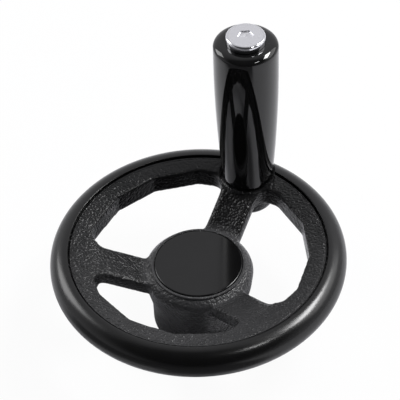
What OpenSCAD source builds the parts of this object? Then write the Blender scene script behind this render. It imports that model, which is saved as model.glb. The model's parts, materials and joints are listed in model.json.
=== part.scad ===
// Spoked handwheel with a revolving handle.
// Z runs along the bore, up from the hub's back face. The handle stands over +X.

/* [Wheel] */

// Outside diameter of the wheel
wheel_d = 125; // [115:1:140]

// Diameter of the round rim bar
rim_bar_d = 14; // [12:0.5:16]

// Height of the middle of the rim above the hub's back face
rim_height = 37; // [34:0.5:42]

// How far inside the middle of the rim bar its smooth outer part ends
smooth_edge = 0.9; // [0:0.1:2]

// How far the smooth part stands above the band at that edge
smooth_step = 0.7; // [0.4:0.1:1.2]

// Width of the groove along the smooth part
groove_w = 0.9; // [0.6:0.1:1.5]

// Depth of the groove below the band
groove_depth = 0.4; // [0.2:0.1:0.8]

/* [Dish and spokes] */

// Slope of the spokes in degrees
spoke_slope = 27.5; // [24:0.5:30]

// Slope of the flat band inside the rim in degrees
band_slope = 9; // [5:0.5:15]

// How far inside the middle of the rim bar the spokes bend down from the band
bend_reach = 11.2; // [9:0.1:13]

// Reach of the rounding along that bend, to either side
bend_round = 2; // [1:0.5:4]

// Thickness of the band and spokes, measured upright
web_t = 6.2; // [4.5:0.1:7.5]

// Width of a spoke
spoke_w = 16.4; // [13:0.2:18.4]

// Number of finger waves along the inside of the rim
wave_count = 15; // [12:1:18]

// Turn of the waves from the spokes in degrees
wave_turn = 2; // [0:0.5:12]

// How far the wave corners stand inside the middle of the rim bar
lip_reach = 8.9; // [8.2:0.1:10]

// Radius of the window corners at the rim
corner_r = 6.5; // [2:0.5:8.5]

// Radius of the window corners at the hub
inner_corner_r = 4; // [1:0.5:4]

// Reach of the fillet where the spokes meet the hub
hub_fillet = 4; // [2:0.5:5]

/* [Hub] */

// Diameter of the hub
hub_d = 40.2; // [38:0.2:42]

// Height of the hub's rim above its back face
hub_h = 33; // [31:0.5:35]

// How far the hub swells beyond its diameter between the spokes
hub_swell = 3.2; // [1:0.1:3.6]

// How much wider the radius of the hub is below the swelling
barrel_widen = 0.4; // [0:0.1:0.8]

// Height above the back face where the hub starts to widen
flare_z = 11.5; // [4:0.5:14]

// How far the widest line of the swelling lies below the spokes
swell_drop = 2.7; // [1:0.1:3.6]

// Edge break round the hub's rim
rim_break = 0.3; // [0.2:0.1:0.6]

// Edge break round the hub's back face
foot_break = 0.8; // [0.4:0.1:1.5]

// Diameter of the bore
bore_d = 12; // [8:0.5:16]

// Diameter of the steel bush round the bore
bush_d = 26; // [22:0.5:28]

// Length of the steel bush
bush_len = 26; // [22:0.5:27]

// Width of the locking groove round the bush
bush_groove_w = 5; // [3:0.5:8]

// Depth of the locking groove round the bush
bush_groove_depth = 1.5; // [0.5:0.25:2]

/* [Hub cap] */

// Wall of the hub round the cap's face
collar_wall = 1.1; // [0.8:0.1:2]

// Thickness of the cap's face
cap_t = 2.8; // [2:0.1:3.2]

// Clearance round the cap's face
cap_gap = 0.3; // [0.1:0.05:0.5]

// How far the cap's face stands above the hub's rim
cap_proud = 0.2; // [0:0.1:0.6]

// Diameter of the cap's plug in the hub
plug_d = 30; // [28:0.5:33]

// Wall of the cap's plug
plug_wall = 1.6; // [1.2:0.1:2.4]

// Length of the cap's plug
plug_len = 3; // [2:0.25:3.5]

// Clearance between the plug's end and the floor under it
plug_gap = 1.4; // [0.6:0.1:2]

// Rounding round the cap's face
cap_round = 0.6; // [0.3:0.1:1]

/* [Handle seat] */

// How far the handle stands inside the middle of the rim bar
handle_inset = 5.5; // [4.5:0.5:7.5]

// Diameter of the handle's seat
seat_d = 24; // [23:0.5:26]

// Height of the handle's seat above the middle of the rim
seat_rise = 3.8; // [3:0.1:4.5]

// Thickness of the boss under the handle's seat
boss_h = 14; // [13:0.5:16]

// Height of the taper at the foot of the boss
boss_taper_h = 4; // [2:0.5:6]

// How much smaller the radius of the boss is at its foot
boss_taper = 2; // [1:0.5:3]

// Wall left outside the insert where the rim cuts the boss off
boss_wall = 2; // [1.5:0.25:3]

// Diameter of the threaded insert in the boss
insert_d = 13; // [11:0.5:14]

// Length of the threaded insert
insert_len = 12; // [10:0.5:12.5]

// Diameter of the handle's thread
thread_d = 8; // [6:0.5:9]

/* [Handle] */

// Length of the grip
grip_len = 75; // [60:1:90]

// Largest diameter of the grip, near its top
grip_d = 27.1; // [25:0.1:30]

// Height of the largest diameter, as a share of the length
grip_belly = 0.83; // [0.6:0.01:0.9]

// How much narrower the grip is at its foot
grip_taper = 5.2; // [3:0.1:7]

// Rounding of the grip's top edge
grip_top_round = 2.4; // [1:0.1:4]

// Rounding of the grip's foot edge
grip_foot_round = 1.2; // [0.6:0.1:2]

// Diameter of the spindle inside the grip
spindle_d = 9; // [8:0.5:11]

// Running clearance between spindle and grip, on the radius
run_gap = 0.05; // [0.02:0.01:0.1]

// Diameter of the spindle's foot collar
collar_d = 15; // [14:0.5:17]

// Height of the foot collar
collar_h = 0.7; // [0.5:0.1:1.5]

// Play of the grip at its foot
foot_play = 0.05; // [0.03:0.01:0.1]

// Play of the grip under the spindle's head
head_play = 0.2; // [0.1:0.05:0.4]

// Diameter of the spindle's head
head_d = 16.4; // [14:0.2:19]

// Thickness of the spindle's head
head_t = 3.1; // [2.2:0.1:4]

// Edge break round the spindle's head
head_break = 0.9; // [0.3:0.1:1.2]

// Width across the flats of the key socket
socket_af = 6; // [4:0.5:6]

// Depth of the key socket
socket_depth = 1.4; // [1:0.2:5]

// Depth of the drilled centre in the socket's floor
centre_depth = 0.8; // [0.4:0.1:1.6]

/* [Hidden] */

$fn = 96;
spoke_count = 3;

rim_r = wheel_d / 2 - rim_bar_d / 2;
edge_r = rim_r - smooth_edge;
edge_top = rim_height + sqrt(pow(rim_bar_d / 2, 2) - pow(smooth_edge, 2));
dish_edge_z = edge_top - smooth_step;
wave_r = rim_r - lip_reach;
bend_r = rim_r - bend_reach;
bend_z = dish_edge_z - (edge_r - bend_r) * tan(band_slope);
handle_r = rim_r - handle_inset;

hub_r = hub_d / 2;
swell_r = hub_r + hub_swell;
barrel_r = hub_r + barrel_widen;
flare_w = hub_swell - barrel_widen;
recess_r = hub_r - collar_wall;
cap_r = recess_r - cap_gap;
recess_floor = hub_h + cap_proud - cap_t;
plug_z = recess_floor - plug_len;

seat_z = rim_height + seat_rise;
grip_z = seat_z + collar_h + foot_play;
grip_top = grip_z + grip_len;
head_z = grip_top + head_play;

grip_belly_z = grip_len * grip_belly;
grip_arc_r = (pow(grip_belly_z, 2) + pow(grip_taper / 2, 2)) / grip_taper;

// Height of the upper face of band and spokes at a distance from the axis
function dish_z(r) = r > bend_r
    ? dish_edge_z - (edge_r - r) * tan(band_slope)
    : bend_z - (bend_r - r) * tan(spoke_slope);

// Half section of the round rim bar, cut down to the band inside its smooth part
module rim_section() {
    difference() {
        translate([rim_r, rim_height])
            circle(d = rim_bar_d);
        polygon([
            [edge_r, dish_edge_z],
            [edge_r, rim_height + rim_bar_d],
            [bend_r, rim_height + rim_bar_d],
            [bend_r, bend_z]
        ]);
        polygon([
            [edge_r, dish_edge_z + smooth_step / 2],
            [edge_r - groove_w / 2, dish_edge_z - groove_depth],
            [edge_r - groove_w, dish_edge_z + smooth_step / 2]
        ]);
    }
}

// Half section of the dish: the band inside the rim and the slope of the spokes
module dish_section() {
    root_z = dish_z(hub_r + hub_fillet);
    inside_r = hub_r - hub_fillet / 2;
    under_r = hub_r + hub_fillet / 2;
    polygon([
        [inside_r, root_z + hub_fillet * 0.4],
        [hub_r, root_z + hub_fillet * 0.4],
        [hub_r + hub_fillet * 0.15, root_z + hub_fillet * 0.15],
        [hub_r + hub_fillet * 0.35, root_z - hub_fillet * 0.02],
        [hub_r + hub_fillet * 0.65, root_z - hub_fillet * 0.08],
        [hub_r + hub_fillet, root_z],
        [bend_r - bend_round, dish_z(bend_r - bend_round)],
        [bend_r, bend_z - bend_round * (tan(spoke_slope) - tan(band_slope)) / 4],
        [bend_r + bend_round, dish_z(bend_r + bend_round)],
        [edge_r - groove_w, dish_z(edge_r - groove_w)],
        [edge_r - groove_w, dish_z(edge_r - groove_w) - web_t],
        [bend_r, bend_z - web_t],
        [under_r, dish_z(under_r) - web_t],
        [inside_r, dish_z(inside_r) - web_t - hub_fillet * 0.4]
    ]);
}

// Outline of the space between two spokes before its corners are rounded
module window_outline() {
    difference() {
        rotate([0, 0, wave_turn])
            circle(r = wave_r, $fn = wave_count);
        circle(r = hub_r + 0.5);
        for (i = [0:spoke_count - 1])
            rotate([0, 0, i * 360 / spoke_count])
                translate([0, -spoke_w / 2])
                    square([wheel_d, spoke_w]);
    }
}

// Outline of the three windows with rounded corners
module window_plan() {
    offset(r = corner_r)
        offset(delta = -corner_r)
            window_outline();
    offset(r = inner_corner_r)
        offset(delta = -inner_corner_r)
            intersection() {
                window_outline();
                circle(r = (swell_r + wave_r) / 2);
            }
}

// Half section of the hub, swollen where the spokes meet it
module hub_section() {
    swell_z = dish_z(swell_r) - swell_drop;
    polygon([
        [0, 0],
        [barrel_r - foot_break, 0],
        [barrel_r, foot_break],
        [barrel_r, flare_z],
        [barrel_r + flare_w * 0.3, flare_z + (swell_z - flare_z) * 0.3],
        [barrel_r + flare_w * 0.7, flare_z + (swell_z - flare_z) * 0.6],
        [swell_r - hub_swell * 0.08, swell_z - hub_swell * 0.5],
        [swell_r, swell_z],
        [swell_r - hub_swell * 0.08, swell_z + hub_swell * 0.4],
        [hub_r + hub_swell * 0.3, hub_h - hub_swell * 0.8],
        [hub_r, hub_h - rim_break * 2],
        [hub_r, hub_h - rim_break],
        [hub_r - rim_break, hub_h],
        [0, hub_h]
    ]);
}

// The boss under the handle, cut off before it breaks through the rim's outside
module handle_boss() {
    intersection() {
        translate([handle_r, 0, seat_z - boss_h]) {
            cylinder(r1 = seat_d / 2 - boss_taper, r2 = seat_d / 2, h = boss_taper_h);
            translate([0, 0, boss_taper_h])
                cylinder(d = seat_d, h = boss_h - boss_taper_h);
        }
        cylinder(r = handle_r + insert_d / 2 + boss_wall, h = rim_height * 2);
    }
}

// The moulded wheel: rim, dish, three spokes, hub and handle boss
module wheel_body() {
    color([0.06, 0.06, 0.065])
    difference() {
        union() {
            rotate_extrude()
                rim_section();
            difference() {
                rotate_extrude()
                    dish_section();
                linear_extrude(height = rim_height * 2)
                    window_plan();
            }
            rotate_extrude()
                hub_section();
            handle_boss();
        }
        // Flat seat under the handle
        translate([handle_r, 0, seat_z])
            cylinder(d = seat_d, h = rim_bar_d);
        // Room for the handle's insert
        translate([handle_r, 0, 0])
            insert_shape();
        // Room for the bush and the cap
        bush_shape();
        translate([0, 0, -1])
            cylinder(d = bush_d, h = 2);
        translate([0, 0, plug_z - plug_gap])
            cylinder(d = plug_d, h = hub_h);
        translate([0, 0, recess_floor])
            cylinder(r = recess_r, h = hub_h);
    }
}

// Outside of the steel bush
module bush_shape() {
    rotate_extrude()
        polygon([
            [0, 0],
            [bush_d / 2, 0],
            [bush_d / 2, (bush_len - bush_groove_w) / 2],
            [bush_d / 2 - bush_groove_depth, (bush_len - bush_groove_w) / 2 + 0.5],
            [bush_d / 2 - bush_groove_depth, (bush_len + bush_groove_w) / 2 - 0.5],
            [bush_d / 2, (bush_len + bush_groove_w) / 2],
            [bush_d / 2, bush_len],
            [0, bush_len]
        ]);
}

// The steel bush in the hub, with the bore
module hub_bush() {
    color([0.35, 0.36, 0.38])
    difference() {
        bush_shape();
        translate([0, 0, -1])
            cylinder(d = bore_d, h = bush_len + 2);
    }
}

// The push-in cap that closes the hub
module hub_cap() {
    color([0.05, 0.05, 0.055])
    difference() {
        union() {
            translate([0, 0, recess_floor])
                cylinder(r = cap_r, h = cap_t - cap_round);
            translate([0, 0, recess_floor + cap_t - cap_round])
                cylinder(r1 = cap_r, r2 = cap_r - cap_round, h = cap_round);
            translate([0, 0, plug_z])
                cylinder(d = plug_d, h = plug_len + 0.5);
        }
        translate([0, 0, plug_z - 1])
            cylinder(d = plug_d - 2 * plug_wall, h = plug_len + 1.6);
    }
}

// Outside of the threaded insert, on its own axis
module insert_shape() {
    ring = insert_len / 3;
    rotate_extrude()
        polygon([
            [0, seat_z - insert_len],
            [insert_d / 2, seat_z - insert_len],
            [insert_d / 2, seat_z - 2 * ring],
            [insert_d / 2 - 1, seat_z - 2 * ring + 0.5],
            [insert_d / 2 - 1, seat_z - ring - 0.5],
            [insert_d / 2, seat_z - ring],
            [insert_d / 2, seat_z],
            [0, seat_z]
        ]);
}

// The brass insert moulded into the boss
module handle_insert() {
    color([0.72, 0.58, 0.28])
    translate([handle_r, 0, 0])
    difference() {
        insert_shape();
        translate([0, 0, seat_z - insert_len - 1])
            cylinder(d = thread_d, h = insert_len + 2);
    }
}

// The steel spindle: screwed end, foot collar, plain shank and head
module spindle() {
    color([0.8, 0.8, 0.78])
    translate([handle_r, 0, 0])
    difference() {
        union() {
            translate([0, 0, seat_z - insert_len + 1])
                cylinder(d = thread_d, h = insert_len);
            translate([0, 0, seat_z])
                cylinder(d = collar_d, h = collar_h);
            translate([0, 0, seat_z + collar_h - 0.1])
                cylinder(d = spindle_d, h = head_z - seat_z - collar_h + 0.2);
            translate([0, 0, head_z])
                cylinder(d = head_d, h = head_t - head_break);
            translate([0, 0, head_z + head_t - head_break])
                cylinder(d1 = head_d, d2 = head_d - 2 * head_break, h = head_break);
        }
        // Key socket with a drilled centre
        translate([0, 0, head_z + head_t - socket_depth])
            cylinder(d = socket_af / cos(30), h = socket_depth + 1, $fn = 6);
        translate([0, 0, head_z + head_t - socket_depth - centre_depth])
            cylinder(r1 = 0, r2 = centre_depth * 1.5, h = centre_depth + 0.01);
    }
}

// Radius of the grip's long arc at a height above its foot
function grip_r(z) = grip_d / 2 - grip_arc_r + sqrt(pow(grip_arc_r, 2) - pow(z - grip_belly_z, 2));

// Half section of the grip: one long arc, narrower at the foot, with rounded ends
module grip_section() {
    low_z = grip_foot_round;
    low_r = grip_r(low_z) - grip_foot_round;
    top_z = grip_len - grip_top_round;
    top_r = grip_r(top_z) - grip_top_round;
    foot = [for (a = [0:15:75]) [low_r + low_z * sin(a), low_z * (1 - cos(a))]];
    side = [for (i = [0:20]) let (z = low_z + (top_z - low_z) * i / 20) [grip_r(z), z]];
    top = [for (a = [10:10:90])
        [top_r + grip_top_round * cos(a), top_z + grip_top_round * sin(a)]];
    polygon(concat([[0, 0]], foot, side, top, [[0, grip_len]]));
}

// The grip that turns on the spindle
module grip() {
    color([0.04, 0.04, 0.045])
    translate([handle_r, 0, grip_z])
    difference() {
        rotate_extrude()
            grip_section();
        translate([0, 0, -1])
            cylinder(d = spindle_d + 2 * run_gap, h = grip_len + 2);
    }
}

wheel_body();
hub_bush();
hub_cap();
handle_insert();
spindle();
grip();
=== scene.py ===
import json
import math

import bpy
from mathutils import Matrix, Vector

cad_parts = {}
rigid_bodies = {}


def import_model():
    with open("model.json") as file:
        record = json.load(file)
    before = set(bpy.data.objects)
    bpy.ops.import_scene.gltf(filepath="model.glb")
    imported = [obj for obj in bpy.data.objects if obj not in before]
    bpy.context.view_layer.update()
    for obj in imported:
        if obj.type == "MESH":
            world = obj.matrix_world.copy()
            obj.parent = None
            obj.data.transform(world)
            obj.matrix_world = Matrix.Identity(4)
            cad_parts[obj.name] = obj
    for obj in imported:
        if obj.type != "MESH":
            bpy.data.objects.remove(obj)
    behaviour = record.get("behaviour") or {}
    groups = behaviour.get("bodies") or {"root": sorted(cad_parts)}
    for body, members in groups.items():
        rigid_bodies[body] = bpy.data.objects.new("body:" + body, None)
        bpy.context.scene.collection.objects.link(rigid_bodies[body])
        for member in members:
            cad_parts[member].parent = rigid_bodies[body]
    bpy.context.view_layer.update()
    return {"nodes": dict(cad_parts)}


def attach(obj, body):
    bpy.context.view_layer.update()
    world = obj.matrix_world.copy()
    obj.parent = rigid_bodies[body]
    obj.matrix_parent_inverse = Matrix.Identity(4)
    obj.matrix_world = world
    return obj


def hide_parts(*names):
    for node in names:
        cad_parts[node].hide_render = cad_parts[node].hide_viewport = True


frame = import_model()
print("frame loaded:", ", ".join(sorted(frame["nodes"])))

mm = 0.001
mergeDistance = 0.002 * mm  # doubles closer than this become one
samePlace = 0.01 * mm  # anything this near to a point is taken to be at it
scene = bpy.context.scene


# small modelling helpers, everything in edit mode as by hand, sizes in mm

def deselectAll():
    if bpy.context.object and bpy.context.object.mode != "OBJECT":
        bpy.ops.object.mode_set(mode="OBJECT")
    bpy.ops.object.select_all(action="DESELECT")


def makeActive(piece):
    deselectAll()
    piece.select_set(True)
    bpy.context.view_layer.objects.active = piece


def useModifier(piece, kind, **settings):
    makeActive(piece)
    modifier = piece.modifiers.new(kind.title(), kind)
    for key, value in settings.items():
        setattr(modifier, key, value)
    bpy.ops.object.modifier_apply(modifier=modifier.name)


def pickVertices(piece, test):
    # edit mode stays on, with only the vertices that pass the test selected
    bpy.ops.object.mode_set(mode="OBJECT")
    for v in piece.data.vertices:
        v.select = test(v)
    for e in piece.data.edges:
        e.select = all(piece.data.vertices[i].select for i in e.vertices)
    for f in piece.data.polygons:
        f.select = all(piece.data.vertices[i].select for i in f.vertices)
    bpy.ops.object.mode_set(mode="EDIT")
    bpy.ops.mesh.select_mode(type="VERT")


def pickEdges(piece, test):
    # edit mode stays on, with only the edges whose two ends pass the test selected
    bpy.ops.object.mode_set(mode="OBJECT")
    mesh = piece.data
    for v in mesh.vertices:
        v.select = False
    for f in mesh.polygons:
        f.select = False
    for e in mesh.edges:
        e.select = test(*(mesh.vertices[i].co for i in e.vertices))
        if e.select:
            for i in e.vertices:
                mesh.vertices[i].select = True
    bpy.ops.object.mode_set(mode="EDIT")
    bpy.ops.mesh.select_mode(type="EDGE")


def drawProfile(name, points):
    # points are (radius, height) or (radius, height, rounding), drawn over +X
    deselectAll()
    bpy.ops.mesh.primitive_plane_add(size=mm)
    piece = bpy.context.object
    piece.name = piece.data.name = name
    bpy.ops.object.mode_set(mode="EDIT")
    bpy.ops.mesh.select_mode(type="VERT")
    bpy.ops.mesh.select_all(action="SELECT")
    bpy.ops.mesh.merge(type="CENTER")
    bpy.ops.transform.translate(value=(points[0][0] * mm, 0, points[0][1] * mm))
    for a, b in zip(points, points[1:]):
        step = ((b[0] - a[0]) * mm, 0, (b[1] - a[1]) * mm)
        bpy.ops.mesh.extrude_region_move(TRANSFORM_OT_translate={"value": step})
    bpy.ops.mesh.select_all(action="SELECT")
    bpy.ops.mesh.remove_doubles(threshold=mergeDistance)
    for p in points:
        if len(p) == 3:
            place = Vector((p[0] * mm, 0, p[1] * mm))
            pickVertices(piece, lambda v: (v.co - place).length < samePlace)
            bpy.ops.mesh.bevel(offset=p[2] * mm, segments=6, affect="VERTICES")
    return piece


def spinRound(piece, steps):
    bpy.ops.mesh.select_all(action="SELECT")
    bpy.ops.mesh.spin(steps=steps, angle=2 * math.pi, center=(0, 0, 0), axis=(0, 0, 1))
    bpy.ops.mesh.select_all(action="SELECT")
    bpy.ops.mesh.remove_doubles(threshold=mergeDistance)
    bpy.ops.mesh.normals_make_consistent(inside=False)
    bpy.ops.object.mode_set(mode="OBJECT")
    return piece


def addCylinder(radius, low, high, x=0, vertices=96):
    deselectAll()
    bpy.ops.mesh.primitive_cylinder_add(vertices=vertices, radius=radius * mm, depth=(high - low) * mm,
                                        location=(x * mm, 0, (low + high) / 2 * mm))
    return bpy.context.object


def addCone(lowRadius, highRadius, middle, depth, vertices, turn=0):
    deselectAll()
    bpy.ops.mesh.primitive_cone_add(vertices=vertices, radius1=lowRadius * mm, radius2=highRadius * mm,
                                    depth=depth * mm, location=(0, 0, middle * mm),
                                    rotation=(0, 0, math.radians(turn)))
    return bpy.context.object


def applyPlace():
    bpy.ops.object.transform_apply(location=True, rotation=True, scale=True)


def moveTo(piece, x, y, z):
    makeActive(piece)
    bpy.ops.transform.translate(value=(x * mm, y * mm, z * mm))
    applyPlace()


def cutWith(piece, *cutters, how="DIFFERENCE"):
    for cutter in cutters:
        useModifier(piece, "BOOLEAN", object=cutter, operation=how, solver="EXACT")
        bpy.data.objects.remove(cutter)


def smoothShade(piece, degrees=30):
    makeActive(piece)
    bpy.ops.object.shade_smooth_by_angle(angle=math.radians(degrees))


# shader helpers, lengths in metres

class Wire:
    # a shader socket that can be added, multiplied and so on
    def __init__(self, recipe, socket):
        self.recipe, self.socket = recipe, socket

    def join(self, how, a, b=0.0):
        return self.recipe.node("ShaderNodeMath", {"operation": how}, {0: a, 1: b})

    def __add__(self, other):
        return self.join("ADD", self, other)

    def __radd__(self, other):
        return self.join("ADD", other, self)

    def __sub__(self, other):
        return self.join("SUBTRACT", self, other)

    def __rsub__(self, other):
        return self.join("SUBTRACT", other, self)

    def __mul__(self, other):
        return self.join("MULTIPLY", self, other)

    def __rmul__(self, other):
        return self.join("MULTIPLY", other, self)

    def __pow__(self, other):
        return self.join("POWER", self, other)

    def __abs__(self):
        return self.join("ABSOLUTE", self)


class Recipe:
    # one node tree, of a material or of the world
    def __init__(self, owner):
        owner.use_nodes = True
        self.owner, self.tree = owner, owner.node_tree

    def node(self, kind, settings=None, sockets=None, out=0):
        made = self.tree.nodes.new(kind)
        for key, value in (settings or {}).items():
            if key == "stops":
                ramp = made.color_ramp
                while len(ramp.elements) < len(value):
                    ramp.elements.new(0.5)
                for element, (place, colour) in zip(ramp.elements, value):
                    element.position, element.color = place, colour
            else:
                setattr(made, key, value)
        for key, value in (sockets or {}).items():
            self.plug(value, made.inputs[key])
        return Wire(self, made.outputs[out])

    def plug(self, value, socket):
        if isinstance(value, Wire):
            self.tree.links.new(value.socket, socket)
        else:
            socket.default_value = value

    def split(self, vector):
        outputs = self.node("ShaderNodeSeparateXYZ", {}, {0: vector}).socket.node.outputs
        return [Wire(self, output) for output in outputs]

    def centred(self, x):
        # coordinates measured from an upright axis at x
        return self.split(self.node("ShaderNodeMapping", {}, {"Vector": self.place, "Location": (-x, 0, 0)}))

    def length(self, vector):
        return self.node("ShaderNodeVectorMath", {"operation": "LENGTH"}, {0: vector}, "Value")

    def ramp(self, value, low, high):
        # from 0 at low to 1 at high
        return self.node("ShaderNodeMapRange", {}, {"Value": value, "From Min": low, "From Max": high})

    def mix(self, factor, low, high):
        return self.node("ShaderNodeMix", {"data_type": "RGBA"}, {0: factor, 6: low, 7: high}, 2)

    def noise(self, scale, detail=3.0, roughness=0.5):
        return self.node("ShaderNodeTexNoise", {}, {"Vector": self.place, "Scale": scale,
                                                    "Detail": detail, "Roughness": roughness})

    def lines(self, along, scale, detail):
        return self.node("ShaderNodeTexNoise", {"noise_dimensions": "1D"},
                         {"W": along, "Scale": scale, "Detail": detail})

    def shown(self, mirrored):
        # 1 to the camera and through what is clear, and a share of it in a mirror image
        outputs = self.node("ShaderNodeLightPath").socket.node.outputs
        camera, through, glossy = (Wire(self, outputs["Is " + ray + " Ray"])
                                   for ray in ("Camera", "Transmission", "Glossy"))
        return camera + through + glossy * mirrored

    def finish(self, colour, roughness, depth, height):
        # the sockets that vary over every surface here; depth is the bump's, in mm
        bump = self.node("ShaderNodeBump", {}, {"Strength": 1.0, "Distance": depth * mm, "Height": height})
        for value, key in ((colour, "Base Color"), (roughness, "Roughness"), (bump, "Normal")):
            self.plug(value, self.surface.inputs[key])
        return self.owner


def newMaterial(name, plain):
    recipe = Recipe(bpy.data.materials.new(name))
    recipe.surface = recipe.tree.nodes["Principled BSDF"]
    for key, value in plain.items():
        recipe.surface.inputs[key].default_value = value
    recipe.place = recipe.node("ShaderNodeTexCoord", out="Object")
    return recipe


def grey(value, tint=(1.0, 1.0, 1.04)):
    return (value * tint[0], value * tint[1], value * tint[2], 1)


# camera, matched to the photograph; its place is in mm

cameraSettings = {
    "place": (-413.1, -219.7, 546.8), "heading": -62.22, "tilt": 44.52, "roll": -2.60,
    "lens": 147.5, "sensor": 36, "clip": (0.01, 100),
}

# the way the camera looks along the floor, from +X
viewTurn = math.radians(90 + cameraSettings["heading"])


def addCamera():
    s = cameraSettings
    data = bpy.data.cameras.new("camera")
    data.lens, data.sensor_width = s["lens"], s["sensor"]
    data.clip_start, data.clip_end = s["clip"]
    camera = bpy.data.objects.new("camera", data)
    scene.collection.objects.link(camera)
    turn = Matrix.Rotation(math.radians(s["heading"]), 4, "Z")
    turn = turn @ Matrix.Rotation(math.radians(s["tilt"]), 4, "X")
    turn = turn @ Matrix.Rotation(math.radians(s["roll"]), 4, "Z")
    camera.matrix_world = Matrix.Translation(Vector(s["place"]) * mm) @ turn
    scene.camera = camera


addCamera()
print("camera set")


# flat seat under the handle, cut into rim and groove a little deeper than into the moulding

seatSettings = {"at": 50.0, "radius": 12.0, "height": 40.8, "inRim": 40.7, "clear": 10.0}


def addSeatCutter(height):
    s = seatSettings
    return addCylinder(s["radius"], height, height + s["clear"], s["at"])


# rim: the smooth round bar, cut off at the step above the dish

rimSettings = {
    "middle": 55.5, "height": 37.0, "bar": 6.995, "lastAngle": -160.0, "arcSteps": 56,
    "step": 54.6, "stepRound": 0.28, "grooveFloor": 42.4, "wall": 52.6, "under": (50.6, 38.6), "spin": 192,
}


def addRim():
    s = rimSettings
    first = math.degrees(math.acos((s["step"] - s["middle"]) / s["bar"]))
    sweep = first - s["lastAngle"]
    angles = [math.radians(first - i * sweep / s["arcSteps"]) for i in range(s["arcSteps"] + 1)]
    outline = [(s["middle"] + s["bar"] * math.cos(a), s["height"] + s["bar"] * math.sin(a)) for a in angles]
    outline[0] += (s["stepRound"],)
    outline += [s["under"], (s["wall"], s["grooveFloor"]), (s["step"], s["grooveFloor"]), outline[0]]
    rim = spinRound(drawProfile("rimBar", outline), s["spin"])
    cutWith(rim, addSeatCutter(seatSettings["inRim"]))
    smoothShade(rim)
    return rim


rimBar = addRim()
print("rim:", len(rimBar.data.polygons), "faces")


# the groove between rim and dish, cut crisply, with the outermost strip of the dish

grooveSettings = {
    "inner": 53.1, "innerHeight": 42.98, "lip": 53.75, "lipHeight": 43.08,
    "foot": 54.0, "outer": 55.0, "floor": 42.4, "under": 41.0, "spin": 192,
}


def addGroove():
    s = grooveSettings
    outline = [
        (s["inner"], s["under"]), (s["inner"], s["innerHeight"]), (s["lip"], s["lipHeight"]),
        (s["foot"], s["floor"]), (s["outer"], s["floor"]), (s["outer"], s["under"]), (s["inner"], s["under"])]
    groove = spinRound(drawProfile("grooveEdge", outline), s["spin"])
    cutWith(groove, addSeatCutter(seatSettings["inRim"]))
    smoothShade(groove, degrees=20)
    return groove


grooveEdge = addGroove()


# dish, spokes, hub and handle boss as one moulding with softened edges

dishSettings = {
    "edge": 53.6, "edgeHeight": 43.08, "bandSlope": 9.0, "bend": 44.3, "bendReach": 2.0, "spokeSlope": 27.5,
    "shelf": 39.5, "tongue": 2.2, "tongueTop": 38.5, "tongueFoot": 35.5,
    "lip": 9.0, "lipAt": 51.5, "lipFrom": 1.2, "web": 6.2, "webFrom": 0.8, "webDrop": 0.6,
    "inner": 18.1, "filletWidth": 4.0, "filletDrop": 1.6, "spin": 144,
}
windowSettings = {
    "waveRadius": 46.8, "waves": 15, "waveTurn": 2.0, "foot": 5.0, "height": 60.0, "hub": 20.6,
    "spoke": 16.4, "spokeReach": 60.0, "spokeTurns": (0, 120, 240), "through": (-10, 80),
    "corner": 6.5, "cornersAt": (40, 50), "hubCorner": 4.0, "hubCornersAt": (18, 26),
    "upright": 40.0, "nearSpoke": 0.02, "cornerSteps": 8,
}
hubSettings = {
    "bush": 12.9, "bushTop": 26.5, "cavity": 16.5, "barrel": 20.5, "footEdge": 0.8,
    "flareFrom": 11.5, "flare": ((0.3, 0.3), (0.7, 0.6)),
    "swell": 23.3, "swellHeight": 28.0, "shoulder": ((-0.26, -1.6), (0, 0), (-0.2, 1.1), (-0.75, 2.1)),
    "collar": 20.1, "height": 33.0, "sunk": 0.9, "neck": ((1.5, -2.0), (0.5, -1.2), (-0.1, -0.9)),
    "spin": 144,
}
bossSettings = {"depth": 14.0, "round": 3.0, "roundSteps": 4, "reach": 58.5, "reachSteps": 144}
mouldingSettings = {
    "voxel": 0.565, "soften": 4, "edgeReach": 4, "edgeSoften": 40,
    "edgeFrom": 24.0, "beforeBend": 3.0, "edgeDrop": 3.0, "facing": (0.15, 0.8), "seatMargin": 1.5,
}


def dishSlopes():
    return [math.tan(math.radians(dishSettings[key])) for key in ("bandSlope", "spokeSlope")]


def dishHeight(radius):
    # upper face: a nearly level band inside the rim, then the slope of the spokes
    s = dishSettings
    band, slope = dishSlopes()
    if radius > s["bend"]:
        return s["edgeHeight"] - (s["edge"] - radius) * band
    return s["edgeHeight"] - (s["edge"] - s["bend"]) * band - (s["bend"] - radius) * slope


def onDish(radius, depth=0.0):
    return (radius, dishHeight(radius) - depth)


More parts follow.
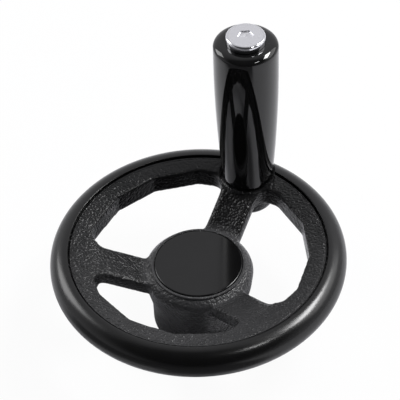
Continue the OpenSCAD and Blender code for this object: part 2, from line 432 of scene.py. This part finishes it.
def addWindowCutter():
    # all three windows: a disc with the waved outline, less the hub and the spokes
    s = windowSettings
    deselectAll()
    bpy.ops.mesh.primitive_circle_add(vertices=s["waves"], radius=s["waveRadius"] * mm, fill_type="NGON",
                                      location=(0, 0, s["foot"] * mm),
                                      rotation=(0, 0, math.radians(s["waveTurn"] - 90)))
    cutter = bpy.context.object
    cutter.name = "windowCutter"
    bpy.ops.object.mode_set(mode="EDIT")
    bpy.ops.mesh.select_all(action="SELECT")
    bpy.ops.mesh.extrude_region_move(TRANSFORM_OT_translate={"value": (0, 0, s["height"] * mm)})
    bpy.ops.mesh.select_all(action="SELECT")
    bpy.ops.mesh.normals_make_consistent(inside=False)
    bpy.ops.object.mode_set(mode="OBJECT")
    applyPlace()
    low, high = s["through"]
    solids = [addCylinder(s["hub"], low, high)]
    for turn in s["spokeTurns"]:
        deselectAll()
        bpy.ops.mesh.primitive_cube_add(size=1, location=(s["spokeReach"] / 2 * mm, 0, (low + high) / 2 * mm),
                                        scale=(s["spokeReach"] * mm, s["spoke"] * mm, (high - low) * mm))
        applyPlace()
        bpy.context.object.rotation_euler.z = math.radians(turn)
        solids.append(bpy.context.object)
    cutWith(cutter, *solids)
    makeActive(cutter)

    def besideSpoke(p):
        turns = (math.radians(turn) for turn in s["spokeTurns"])
        sides = (abs(p.x * math.sin(t) - p.y * math.cos(t)) / mm - s["spoke"] / 2 for t in turns)
        return min(abs(side) for side in sides) < s["nearSpoke"]

    def isCorner(a, b, nearest, farthest):
        upright = (a - b).length > s["upright"] * mm and math.hypot(a.x - b.x, a.y - b.y) < samePlace
        return upright and besideSpoke(a) and nearest < math.hypot(a.x, a.y) / mm < farthest

    for (nearest, farthest), size in ((s["cornersAt"], s["corner"]), (s["hubCornersAt"], s["hubCorner"])):
        pickEdges(cutter, lambda a, b: isCorner(a, b, nearest, farthest))
        bpy.ops.mesh.bevel(offset=size * mm, segments=s["cornerSteps"], affect="EDGES")
    bpy.ops.object.mode_set(mode="OBJECT")
    return cutter


def addDish():
    s = dishSettings
    inner, bend, edge, web = s["inner"], s["bend"], s["edge"], s["web"]
    band, slope = dishSlopes()
    return spinRound(drawProfile("moulding", [
        onDish(inner), onDish(bend - s["bendReach"]), onDish(bend, (slope - band) / 2),
        onDish(bend + s["bendReach"]), onDish(edge), (edge, s["shelf"]),
        (edge + s["tongue"], s["tongueTop"]), (edge + s["tongue"], s["tongueFoot"]),
        onDish(s["lipAt"], s["lip"]), onDish(bend + s["lipFrom"], s["lip"]),
        (bend - s["webFrom"], dishHeight(bend) - web - s["webDrop"]),
        onDish(inner + s["filletWidth"], web), onDish(inner, web + s["filletDrop"]), onDish(inner)]), s["spin"])


def addHub():
    # a barrel that flares to the shoulder under the collar
    s = hubSettings
    barrel, swell, ridge, top = s["barrel"], s["swell"], s["swellHeight"], s["height"]
    flare, rise = swell - barrel, ridge - s["flareFrom"]
    outline = [(s["bush"], 0), (barrel - s["footEdge"], 0), (barrel, s["footEdge"]), (barrel, s["flareFrom"])]
    outline += [(barrel + flare * out, s["flareFrom"] + rise * up) for out, up in s["flare"]]
    outline += [(swell + out, ridge + up) for out, up in s["shoulder"]]
    outline += [(s["collar"] + out, top + up) for out, up in s["neck"]]
    outline += [(s["cavity"], top - s["sunk"]), (s["cavity"], s["bushTop"]), (s["bush"], s["bushTop"])]
    return spinRound(drawProfile("barrel", outline + [outline[0]]), s["spin"])


def addBoss():
    s, seat = bossSettings, seatSettings
    foot = seat["height"] - s["depth"]
    boss = addCylinder(seat["radius"], foot, seat["height"], seat["at"])
    applyPlace()
    pickVertices(boss, lambda v: v.co.z < (foot + s["depth"] / 2) * mm)
    bpy.ops.mesh.bevel(offset=s["round"] * mm, segments=s["roundSteps"], affect="EDGES")
    bpy.ops.object.mode_set(mode="OBJECT")
    reach = addCylinder(s["reach"], *windowSettings["through"], vertices=s["reachSteps"])
    cutWith(boss, reach, how="INTERSECT")
    return boss


def softenEdges(piece):
    # the upper edges of the spokes are rounded further, the rest of the moulding stays as it is
    s, seat = mouldingSettings, seatSettings
    steepest, flattest = s["facing"]

    def onEdge(v):
        reach = math.hypot(v.co.x, v.co.y) / mm
        drop = dishHeight(reach) - v.co.z / mm
        fromSeat = math.hypot(v.co.x / mm - seat["at"], v.co.y / mm) - seat["radius"]
        onSpoke = s["edgeFrom"] < reach < dishSettings["bend"] - s["beforeBend"] and 0 < drop < s["edgeDrop"]
        return onSpoke and steepest < v.normal.z < flattest and fromSeat >= s["seatMargin"]

    makeActive(piece)
    pickVertices(piece, onEdge)
    for _ in range(s["edgeReach"]):
        bpy.ops.mesh.select_more()
    bpy.ops.mesh.vertices_smooth(factor=0.5, repeat=s["edgeSoften"])
    bpy.ops.object.mode_set(mode="OBJECT")


def addMoulding():
    s = mouldingSettings
    dish = addDish()
    cutWith(dish, addWindowCutter())
    hub, boss = addHub(), addBoss()
    makeActive(dish)
    hub.select_set(True)
    boss.select_set(True)
    bpy.ops.object.join()
    useModifier(dish, "REMESH", mode="VOXEL", voxel_size=s["voxel"] * mm, use_smooth_shade=True)
    cutWith(dish, addSeatCutter(seatSettings["height"]))
    useModifier(dish, "REMESH", mode="VOXEL", voxel_size=s["voxel"] * mm, use_smooth_shade=True)
    useModifier(dish, "SMOOTH", factor=0.5, iterations=s["soften"])
    softenEdges(dish)
    bpy.ops.object.shade_smooth()
    return dish


moulding = addMoulding()
moulding.name = "moulding"
moulding.data.calc_loop_triangles()
print("moulding:", len(moulding.data.loop_triangles), "triangles")


# hub collar: the thin upright ring round the cap

collarSettings = {
    "outer": 20.1, "inner": 19.0, "bore": 15.2, "top": 33.0, "floor": 30.4, "foot": 28.0,
    "outerRound": 0.25, "innerRound": 0.2, "spin": 160,
}


def addCollar():
    s = collarSettings
    outline = [
        (s["outer"], s["foot"]), (s["outer"], s["top"], s["outerRound"]),
        (s["inner"], s["top"], s["innerRound"]), (s["inner"], s["floor"]),
        (s["bore"], s["floor"]), (s["bore"], s["foot"]), (s["outer"], s["foot"])]
    collar = spinRound(drawProfile("hubCollar", outline), s["spin"])
    smoothShade(collar)
    return collar


hubCollar = addCollar()


# push-in cap with a softly rounded edge

capSettings = {
    "radius": 18.7, "top": 33.2, "face": 2.8, "round": 0.45, "flat": 0.3,
    "plug": 15.0, "plugWall": 1.6, "plugLength": 3.0, "hollow": 0.6, "spin": 160,
}


def addCap():
    s = capSettings
    under, flat = s["top"] - s["face"], s["radius"] - s["round"] - s["flat"]
    foot, hollow, inside = under - s["plugLength"], under + s["hollow"], s["plug"] - s["plugWall"]
    outline = [
        (0, s["top"]), (flat, s["top"]), (s["radius"], s["top"], s["round"]), (s["radius"], under),
        (s["plug"], under), (s["plug"], foot), (inside, foot), (inside, hollow), (0, hollow)]
    cap = spinRound(drawProfile("capFace", outline), s["spin"])
    smoothShade(cap)
    return cap


capFace = addCap()
print("hub collar and cap modelled")


# turning grip: one long arc, narrower at the foot

gripSettings = {
    "foot": 41.55, "length": 75.0, "width": 27.1, "belly": 0.83, "taper": 5.2, "bore": 4.55,
    "footRound": 1.2, "footSteps": 6, "sideSteps": 36,
    "topRound": 2.4, "topReach": 4.4, "topSteps": 12, "topFlat": 0.4, "spin": 144,
}


def addGrip():
    s = gripSettings
    belly = s["length"] * s["belly"]
    arc = (belly ** 2 + (s["taper"] / 2) ** 2) / s["taper"]

    def side(z):
        return s["width"] / 2 - arc + math.sqrt(arc ** 2 - (z - belly) ** 2)

    def quarter(steps):
        return [math.radians(90 * i / steps) for i in range(steps + 1)]

    low, high = s["footRound"], s["length"] - s["topRound"]
    shoulder = side(high) - s["topReach"]
    heights = [low + (high - low) * i / s["sideSteps"] for i in range(s["sideSteps"] + 1)]
    outline = [(s["bore"], 0)]
    outline += [(side(low) - low + low * math.sin(a), low - low * math.cos(a))
                for a in quarter(s["footSteps"])[:-1]]
    outline += [(side(z), z) for z in heights]
    outline += [(shoulder + s["topReach"] * math.cos(a), high + s["topRound"] * math.sin(a))
                for a in quarter(s["topSteps"])[1:]]
    outline += [(shoulder - s["topFlat"], s["length"]), (s["bore"], s["length"]), (s["bore"], 0)]
    grip = spinRound(drawProfile("gripBody", outline), s["spin"])
    moveTo(grip, seatSettings["at"], 0, s["foot"])
    smoothShade(grip, degrees=40)
    return grip


gripBody = addGrip()
print("grip:", len(gripBody.data.polygons), "faces")


# spindle with its rounded head and key socket

spindleSettings = {
    "end": 29.8, "thread": 4.0, "seat": 40.8, "collar": 7.5, "collarHeight": 0.7, "shank": 4.5,
    "headFoot": 116.75, "head": 8.2, "headHeight": 3.1, "headRound": 0.9, "headFlat": 0.3,
    "keyWidth": 6.0, "keyDepth": 0.55, "keyInset": 0.12,
    "centre": 0.8, "centreDepth": 0.35, "overlap": 0.01, "spin": 128,
}


def addSpindle():
    s = spindleSettings
    top, collarTop = s["headFoot"] + s["headHeight"], s["seat"] + s["collarHeight"]
    outline = [
        (0, s["end"]), (s["thread"], s["end"]), (s["thread"], s["seat"]), (s["collar"], s["seat"]),
        (s["collar"], collarTop), (s["shank"], collarTop), (s["shank"], s["headFoot"]),
        (s["head"], s["headFoot"]), (s["head"], top, s["headRound"]),
        (s["head"] - s["headRound"] - s["headFlat"], top), (0, top)]
    spindle = spinRound(drawProfile("spindleHead", outline), s["spin"])
    corner = s["keyWidth"] / math.cos(math.radians(30)) / 2
    low, high, depth = corner - s["keyInset"], corner + s["keyInset"], s["keyDepth"] * 2
    centre = top - s["keyDepth"] - s["centreDepth"] / 2 + s["overlap"]
    cutWith(spindle, addCone(low, high, top, depth, vertices=6, turn=30),
            addCone(0, s["centre"], centre, s["centreDepth"], vertices=48))
    moveTo(spindle, seatSettings["at"], 0, 0)
    smoothShade(spindle)
    return spindle


spindleHead = addSpindle()
print("spindle modelled")


# materials: places on the grain in metres, bump depths and the steel's face in mm

grainSettings = {
    "pebble": 980, "merged": 0.6, "fine": 2600, "fineShare": 0.2, "broad": 90, "depth": 0.46, "index": 1.34,
    # the last share on the next line, with the near ramp below, paints the near side of the dish paler: painted
    # light, not the plastic's own tone
    "dark": 0.002, "light": 0.031, "speckle": 0.3, "paintedNearLight": 0.55,
    "shine": 0.19, "fineShine": 0.16, "broadShine": 0.12,
    "near": (-0.045, 0.005), "far": (0.028, 0.050), "faint": 0.6,
    # the paler grey on the next line and the reach and heights after it paint light on the hub's shoulder; it
    # is not wear
    "paintedLightShoulder": 0.050, "shoulder": (0.026, 0.022), "rubbed": (0.0265, 0.0295),
}


def makeGrain():
    # spark-eroded mould grain: small rounded pebbles with finer noise on top
    s = grainSettings
    m = newMaterial("grainedBlack", {"IOR": s["index"]})
    pebble = m.node("ShaderNodeTexVoronoi", {"feature": "SMOOTH_F1"},
                    {"Vector": m.place, "Scale": s["pebble"], "Smoothness": s["merged"]}, "Distance")
    fine, broad = m.noise(s["fine"], detail=2.0, roughness=0.6), m.noise(s["broad"])
    x, y, z = m.split(m.place)
    along = x * math.cos(viewTurn) + y * math.sin(viewTurn)
    near, far = m.ramp(along, *s["near"]), m.ramp(along, *s["far"])
    hub = m.ramp(x * x + y * y, *(radius ** 2 for radius in s["shoulder"]))
    # the grain's bump is fainter on the far side of the dish, and the hub's shoulder is painted paler, standing
    # in for the light it catches (painted light)
    pebbles = (1 - pebble * pebble) * (1 - s["fineShare"]) + fine * s["fineShare"]
    # the last term paints the near side of the dish paler: painted light
    paler = fine * s["speckle"] + broad * s["speckle"] + (1 - near) * s["paintedNearLight"]
    black = m.mix(paler, grey(s["dark"]), grey(s["light"]))
    # painted light: the hub's shoulder is painted a paler grey
    colour = m.mix(hub * m.ramp(z, *s["rubbed"]), black, grey(s["paintedLightShoulder"]))
    roughness = s["shine"] - s["fineShine"] * fine + s["broadShine"] * broad
    return m.finish(colour, roughness, s["depth"], pebbles * (1 - far * s["faint"]))


glossSettings = {
    "dark": 0.002, "light": 0.004, "patches": 60, "peel": 420, "index": 1.5,
    "shine": 0.20, "rubbed": 0.08, "wave": 0.012,
}


def makeRimGloss():
    # polished thermoset: a faint orange peel and a few duller rubbed patches
    s = glossSettings
    m = newMaterial("polishedBlack", {"IOR": s["index"]})
    rubbed, peel = m.noise(s["patches"], detail=4.0), m.noise(s["peel"], detail=2.0)
    colour = m.mix(rubbed, grey(s["dark"]), grey(s["light"]))
    return m.finish(colour, s["shine"] + s["rubbed"] * rubbed, s["wave"], peel)


mirrorSettings = {
    "dark": 0.003, "light": 0.006, "cloud": 110, "haze": 0.03, "index": 1.5,
    "capBlack": {"shine": 0.10, "wave": 0.004}, "gripBlack": {"shine": 0.03, "wave": 0.002},
}


def makeMirrorBlack(name):
    s, own = mirrorSettings, mirrorSettings[name]
    m = newMaterial(name, {"IOR": s["index"]})
    cloud = m.noise(s["cloud"])
    colour = m.mix(cloud, grey(s["dark"]), grey(s["light"]))
    return m.finish(colour, own["shine"] + s["haze"] * cloud, own["wave"], cloud)


steelSettings = {
    "dull": 0.74, "bright": 0.86, "shine": 0.26, "polish": 0.09, "face": 6.9, "faceEdge": 0.4,
    "rings": 9000, "ringShare": 0.4, "speck": 1700, "speckShine": 0.10, "wave": 0.01,
}


def makePlatedSteel():
    # bright plating over a turned face: rings round the handle's own axis, and a polished edge
    s = steelSettings
    m = newMaterial("platedSteel", {"Metallic": 1.0})
    x, y, _ = m.centred(seatSettings["at"] * mm)
    reach = (x * x + y * y) ** 0.5
    edge = m.ramp(reach, s["face"] * mm, (s["face"] + s["faceEdge"]) * mm)
    rings, speck = m.lines(reach, s["rings"], detail=2.0), m.noise(s["speck"])
    colour = m.mix(speck, grey(s["dull"]), grey(s["bright"]))
    roughness = (s["shine"] - (s["shine"] - s["polish"]) * edge) + s["speckShine"] * speck * (1 - edge)
    return m.finish(colour, roughness, s["wave"], rings * s["ringShare"] + speck * (1 - s["ringShare"]))


turnedSettings = {
    "lines": 5000, "lineShine": 0.15, "cloud": 220, "wave": 0.02,
    "turnedSteel": {"dull": grey(0.30), "bright": grey(0.42), "at": 0.0, "shine": 0.28},
    "turnedBrass": {"dull": (0.58, 0.42, 0.16, 1), "bright": (0.74, 0.58, 0.28, 1), "at": 50.0, "shine": 0.25},
}


def makeTurnedMetal(name):
    s, own = turnedSettings, turnedSettings[name]
    m = newMaterial(name, {"Metallic": 1.0})
    x, y, z = m.centred(own["at"] * mm)
    lines, cloud = m.lines((x * x + y * y) ** 0.5 + z, s["lines"], detail=3.0), m.noise(s["cloud"])
    colour = m.mix(cloud, own["dull"], own["bright"])
    return m.finish(colour, own["shine"] + s["lineShine"] * lines, s["wave"], lines)


grainedBlack = makeGrain()
polishedBlack = makeRimGloss()
capBlack = makeMirrorBlack("capBlack")
gripBlack = makeMirrorBlack("gripBlack")
platedSteel = makePlatedSteel()
turnedSteel = makeTurnedMetal("turnedSteel")
turnedBrass = makeTurnedMetal("turnedBrass")
print("materials made")


def dress(piece, material):
    piece.data.materials.clear()
    piece.data.materials.append(material)


for piece, material, slot, body, nodes in (
        (rimBar, polishedBlack, "moulded_black", "wheel", ["wheel_body"]),
        (grooveEdge, grainedBlack, "moulded_black", "wheel", ["wheel_body"]),
        (moulding, grainedBlack, "moulded_black", "wheel", ["wheel_body"]),
        (hubCollar, grainedBlack, "moulded_black", "wheel", ["wheel_body"]),
        (capFace, capBlack, "cap_black", "wheel", ["hub_cap"]),
        (spindleHead, platedSteel, "spindle_steel", "wheel", ["spindle"]),
        (gripBody, gripBlack, "grip_black", "grip", ["grip"])):
    dress(piece, material)
    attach(piece, body)
    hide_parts(*nodes)
dress(frame["nodes"]["hub_bush"], turnedSteel)
dress(frame["nodes"]["handle_insert"], turnedBrass)
print("pieces dressed and placed on their bodies")


# floor, soft studio light and white surroundings, lengths in metres

floorSettings = {
    "size": 6.0, "drop": 0.0001, "roughness": 0.9, "shade": 0.80, "white": 0.95, "mirrored": 0.30,
    "shadowed": (0.075, 0.095),
}
paintedShadeSettings = {
    "shade": 0.17, "near": (0.068, 0.084), "aside": 0.009, "half": (0.037, 0.050),
    "far": (0.088, 0.115), "front": (-0.02, 0.035), "slant": 0.27, "edge": (0.038, 0.056),
}
lightSettings = {
    "key": {"turn": -66, "rise": 56, "away": 1.1, "size": (0.48, 0.19), "power": 8.1},
    "softRight": {"turn": -72, "rise": 40, "away": 1.2, "size": (0.85, 0.5), "power": 2.4},
    "left": {"turn": 59, "rise": 37.5, "away": 1.1, "size": (0.40, 0.58), "power": 3.6},
    "glint": {"turn": -125, "rise": 62, "away": 1.1, "size": (0.2, 0.1), "power": 1.0},
}
worldSettings = {
    "mirrored": 0.30,
    "shades": ((0.175, 1.0), (0.35, 0.62), (0.58, 0.56), (0.73, 0.36), (0.85, 0.04)),
}


def paintedShadePatch(m):
    # painted shade: the floor is darkened in front, out of the picture, a strip near the wheel and further off
    # all of the left, for the shade the wheel mirrors
    s = paintedShadeSettings
    turn = viewTurn + math.pi
    x, y, _ = m.split(m.place)
    along = x * math.cos(turn) + y * math.sin(turn)
    across = y * math.cos(turn) - x * math.sin(turn)
    near, side = m.ramp(along, *s["near"]), m.ramp(abs(across - s["aside"]), *s["half"])
    far, front = m.ramp(m.length(m.place), *s["far"]), m.ramp(along, *s["front"])
    right = m.ramp(across - along * s["slant"], *s["edge"])
    return 1 - (1 - near * (1 - side)) * (1 - far * front * (1 - right))


def addFloor():
    s = floorSettings
    deselectAll()
    bpy.ops.mesh.primitive_plane_add(size=s["size"], location=(0, 0, -s["drop"]))
    floor = bpy.context.object
    floor.name = "floor"
    m = newMaterial("paleFloor", {"Roughness": s["roughness"]})
    clear, dark = m.ramp(m.length(m.place), *s["shadowed"]), paintedShadePatch(m)
    # the floor's colour goes dark inside the painted shade patch
    m.plug(m.mix(dark, grey(s["shade"]), grey(paintedShadeSettings["shade"])), m.surface.inputs["Base Color"])
    seen = m.shown(clear * (1 - dark) * s["mirrored"])
    glow = m.node("ShaderNodeEmission", {}, {"Color": (1, 1, 1, 1), "Strength": 1.0})
    surface = Wire(m, m.surface.outputs[0])
    mixed = m.node("ShaderNodeMixShader", {}, {0: seen * s["white"], 1: surface, 2: glow})
    m.plug(mixed, m.tree.nodes["Material Output"].inputs[0])
    dress(floor, m.owner)


def addLights():
    # turn is measured to the left, from straight behind the object as the camera sees it
    for name, s in lightSettings.items():
        data = bpy.data.lights.new(name, "AREA")
        data.shape, data.energy = "RECTANGLE", s["power"]
        data.size, data.size_y = s["size"]
        lamp = bpy.data.objects.new(name, data)
        scene.collection.objects.link(lamp)
        turn, rise = viewTurn + math.radians(s["turn"]), math.radians(s["rise"])
        way = Vector((math.cos(turn) * math.cos(rise), math.sin(turn) * math.cos(rise), math.sin(rise)))
        lamp.location = way * s["away"]
        lamp.rotation_euler = (-lamp.location).to_track_quat("-Z", "Y").to_euler()


def addWorld():
    # white behind the object, fading to dark on the side where the camera stands
    s = worldSettings
    world = bpy.data.worlds.new("studio")
    scene.world = world
    m = Recipe(world)
    way = m.node("ShaderNodeTexCoord", out="Generated")
    front = Vector(cameraSettings["place"]).normalized()
    facing = m.node("ShaderNodeVectorMath", {"operation": "DOT_PRODUCT"}, {0: way, 1: front}, "Value")
    stops = [(place, grey(value)) for place, value in s["shades"]]
    shade = m.node("ShaderNodeValToRGB", {"stops": stops}, {0: facing * 0.5 + 0.5})
    background = m.tree.nodes["Background"].inputs
    m.plug(m.mix(m.shown(shade * s["mirrored"]), shade, (1, 1, 1, 1)), background["Color"])
    m.plug(1.0, background["Strength"])


addFloor()
addLights()
addWorld()
scene.view_settings.view_transform = "Standard"
print("stage set")
